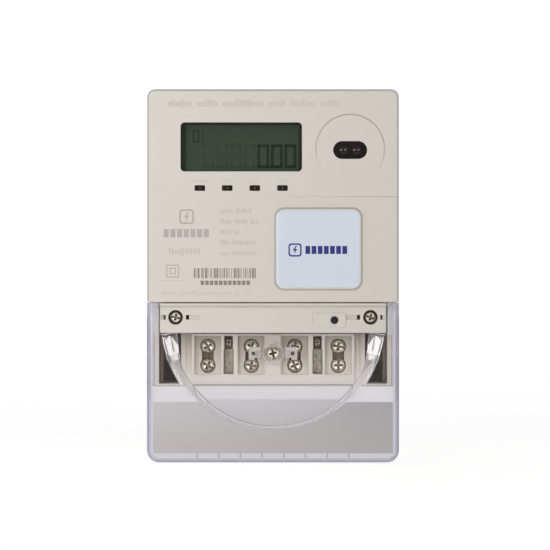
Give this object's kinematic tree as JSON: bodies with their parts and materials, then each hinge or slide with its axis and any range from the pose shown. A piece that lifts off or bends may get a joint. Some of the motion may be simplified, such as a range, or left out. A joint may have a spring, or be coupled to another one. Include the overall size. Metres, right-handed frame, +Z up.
{
  "type": "prepaid electricity meter",
  "caption": "Wall-mounted prepaid electricity meter with a display, optical reading port, card pad and key, and a scooped clear cover over its screw terminals.",
  "frame": {"origin": "on the wall plane, at the middle of the width of the case's back, 74 mm below its top", "axes": "+Z up, -Y out from the wall to the reader, +X to the reader's right"},
  "size_m": [0.1264, 0.0619, 0.187],
  "materials": {
    "ivory_plastic": "fine satin moulded",
    "block_plastic": "satin moulded",
    "dark_phenolic": "satin",
    "clear_plastic": "clear polished",
    "display_window": "clear polished",
    "display_glass": "satin polariser",
    "white_diffuser": "diffusing",
    "smoked_led": "smoked gloss",
    "black_gloss": "infrared-pass gloss",
    "zinc_steel": "zinc plated",
    "pad_plastic": "satin gloss film",
    "circuit_board": "solder mask",
    "copper": "rolled",
    "manganin": "rolled",
    "nickel_steel": "nickel plated",
    "clamp_brass": "machined, slightly dull",
    "component_black": "satin",
    "capacitor_yellow": "gloss",
    "transformer_tape": "taped winding, dark ferrite",
    "epoxy_blue": "dipped",
    "battery_sleeve": "shrink sleeve",
    "button_blue": "satin gloss",
    "gasket_rubber": "matte"
  },
  "bodies": {
    "case": {"base_case": "ivory_plastic", "front_cover": "ivory_plastic", "button_plate": "ivory_plastic", "terminal_block": "block_plastic", "insulating_tray": "dark_phenolic", "lcd_window": "display_window", "lcd_glass": "display_glass", "lcd_backlight": "white_diffuser", "led_1": "smoked_led", "led_2": "smoked_led", "led_3": "smoked_led", "led_4": "smoked_led", "optical_window": "black_gloss", "ir_emitter": "black_gloss", "ir_receiver": "black_gloss", "magnet_ring": "zinc_steel", "board_screw_1": "zinc_steel", "board_screw_2": "zinc_steel", "board_screw_3": "zinc_steel", "board_screw_4": "zinc_steel", "card_pad": "pad_plastic", "main_board": "circuit_board", "antenna_board": "circuit_board", "antenna_coil": "copper", "live_in_bar": "copper", "live_out_bar": "copper", "neutral_bar": "copper", "shunt": "manganin", "terminal_clamp_1": "clamp_brass", "terminal_clamp_2": "clamp_brass", "terminal_clamp_3": "clamp_brass", "terminal_clamp_4": "clamp_brass", "aux_clamp_1": "clamp_brass", "aux_clamp_2": "clamp_brass", "latching_relay": "component_black", "filter_capacitor": "component_black", "buzzer": "component_black", "key_switch": "component_black", "safety_capacitor": "capacitor_yellow", "supply_transformer": "transformer_tape", "current_transformer": "epoxy_blue", "backup_battery": "battery_sleeve", "cover_gasket": "gasket_rubber"},
    "terminal_screw_1": {"terminal_screw_1": "nickel_steel"},
    "terminal_screw_2": {"terminal_screw_2": "nickel_steel"},
    "terminal_screw_3": {"terminal_screw_3": "nickel_steel"},
    "terminal_screw_4": {"terminal_screw_4": "nickel_steel"},
    "terminal_screw_5": {"terminal_screw_5": "nickel_steel"},
    "terminal_screw_6": {"terminal_screw_6": "nickel_steel"},
    "terminal_screw_7": {"terminal_screw_7": "nickel_steel"},
    "terminal_screw_8": {"terminal_screw_8": "nickel_steel"},
    "aux_screw_1": {"aux_screw_1": "nickel_steel"},
    "aux_screw_2": {"aux_screw_2": "nickel_steel"},
    "seal_screw_left": {"seal_screw_left": "nickel_steel"},
    "seal_screw_right": {"seal_screw_right": "nickel_steel"},
    "terminal_cover": {"terminal_cover": "clear_plastic"},
    "terminal_cover_screw": {"terminal_cover_screw": "nickel_steel"},
    "push_button": {"push_button": "button_blue"},
    "hanger": {"hanger": "ivory_plastic"}
  },
  "joints": [
    {"name": "terminal_screw_1_turn", "type": "hinge", "parent": "case", "child": "terminal_screw_1", "pos_m": [-0.0335, -0.028, -0.0557], "axis": [0, 1, 0], "continuous": true},
    {"name": "terminal_screw_2_turn", "type": "hinge", "parent": "case", "child": "terminal_screw_2", "pos_m": [-0.0335, -0.028, -0.0654], "axis": [0, 1, 0], "continuous": true},
    {"name": "terminal_screw_3_turn", "type": "hinge", "parent": "case", "child": "terminal_screw_3", "pos_m": [-0.0112, -0.028, -0.0557], "axis": [0, 1, 0], "continuous": true},
    {"name": "terminal_screw_4_turn", "type": "hinge", "parent": "case", "child": "terminal_screw_4", "pos_m": [-0.0112, -0.028, -0.0654], "axis": [0, 1, 0], "continuous": true},
    {"name": "terminal_screw_5_turn", "type": "hinge", "parent": "case", "child": "terminal_screw_5", "pos_m": [0.0112, -0.028, -0.0557], "axis": [0, 1, 0], "continuous": true},
    {"name": "terminal_screw_6_turn", "type": "hinge", "parent": "case", "child": "terminal_screw_6", "pos_m": [0.0112, -0.028, -0.0654], "axis": [0, 1, 0], "continuous": true},
    {"name": "terminal_screw_7_turn", "type": "hinge", "parent": "case", "child": "terminal_screw_7", "pos_m": [0.0335, -0.028, -0.0557], "axis": [0, 1, 0], "continuous": true},
    {"name": "terminal_screw_8_turn", "type": "hinge", "parent": "case", "child": "terminal_screw_8", "pos_m": [0.0335, -0.028, -0.0654], "axis": [0, 1, 0], "continuous": true},
    {"name": "aux_screw_1_turn", "type": "hinge", "parent": "case", "child": "aux_screw_1", "pos_m": [-0.0228, -0.025, -0.0536], "axis": [0, 1, 0], "continuous": true},
    {"name": "aux_screw_2_turn", "type": "hinge", "parent": "case", "child": "aux_screw_2", "pos_m": [0.0228, -0.025, -0.0536], "axis": [0, 1, 0], "continuous": true},
    {"name": "seal_screw_left_turn", "type": "hinge", "parent": "case", "child": "seal_screw_left", "pos_m": [-0.049, -0.052, -0.0403], "axis": [0, 1, 0], "continuous": true},
    {"name": "seal_screw_right_turn", "type": "hinge", "parent": "case", "child": "seal_screw_right", "pos_m": [0.049, -0.052, -0.0403], "axis": [0, 1, 0], "continuous": true},
    {"name": "terminal_cover_lift", "type": "slide", "parent": "case", "child": "terminal_cover", "axis": [0, -1, 0], "range_m": [0, 0.06]},
    {"name": "terminal_cover_screw_turn", "type": "hinge", "parent": "terminal_cover", "child": "terminal_cover_screw", "pos_m": [0, -0.037, -0.059], "axis": [0, 1, 0], "continuous": true},
    {"name": "push_button_press", "type": "slide", "parent": "case", "child": "push_button", "axis": [0, 1, 0], "range_m": [0, 0.001], "stiffness_N_per_m": 300, "springref_m": -0.004},
    {"name": "hanger_slide", "type": "slide", "parent": "case", "child": "hanger", "axis": [0, 0, 1], "range_m": [0, 0.012]}
  ]
}
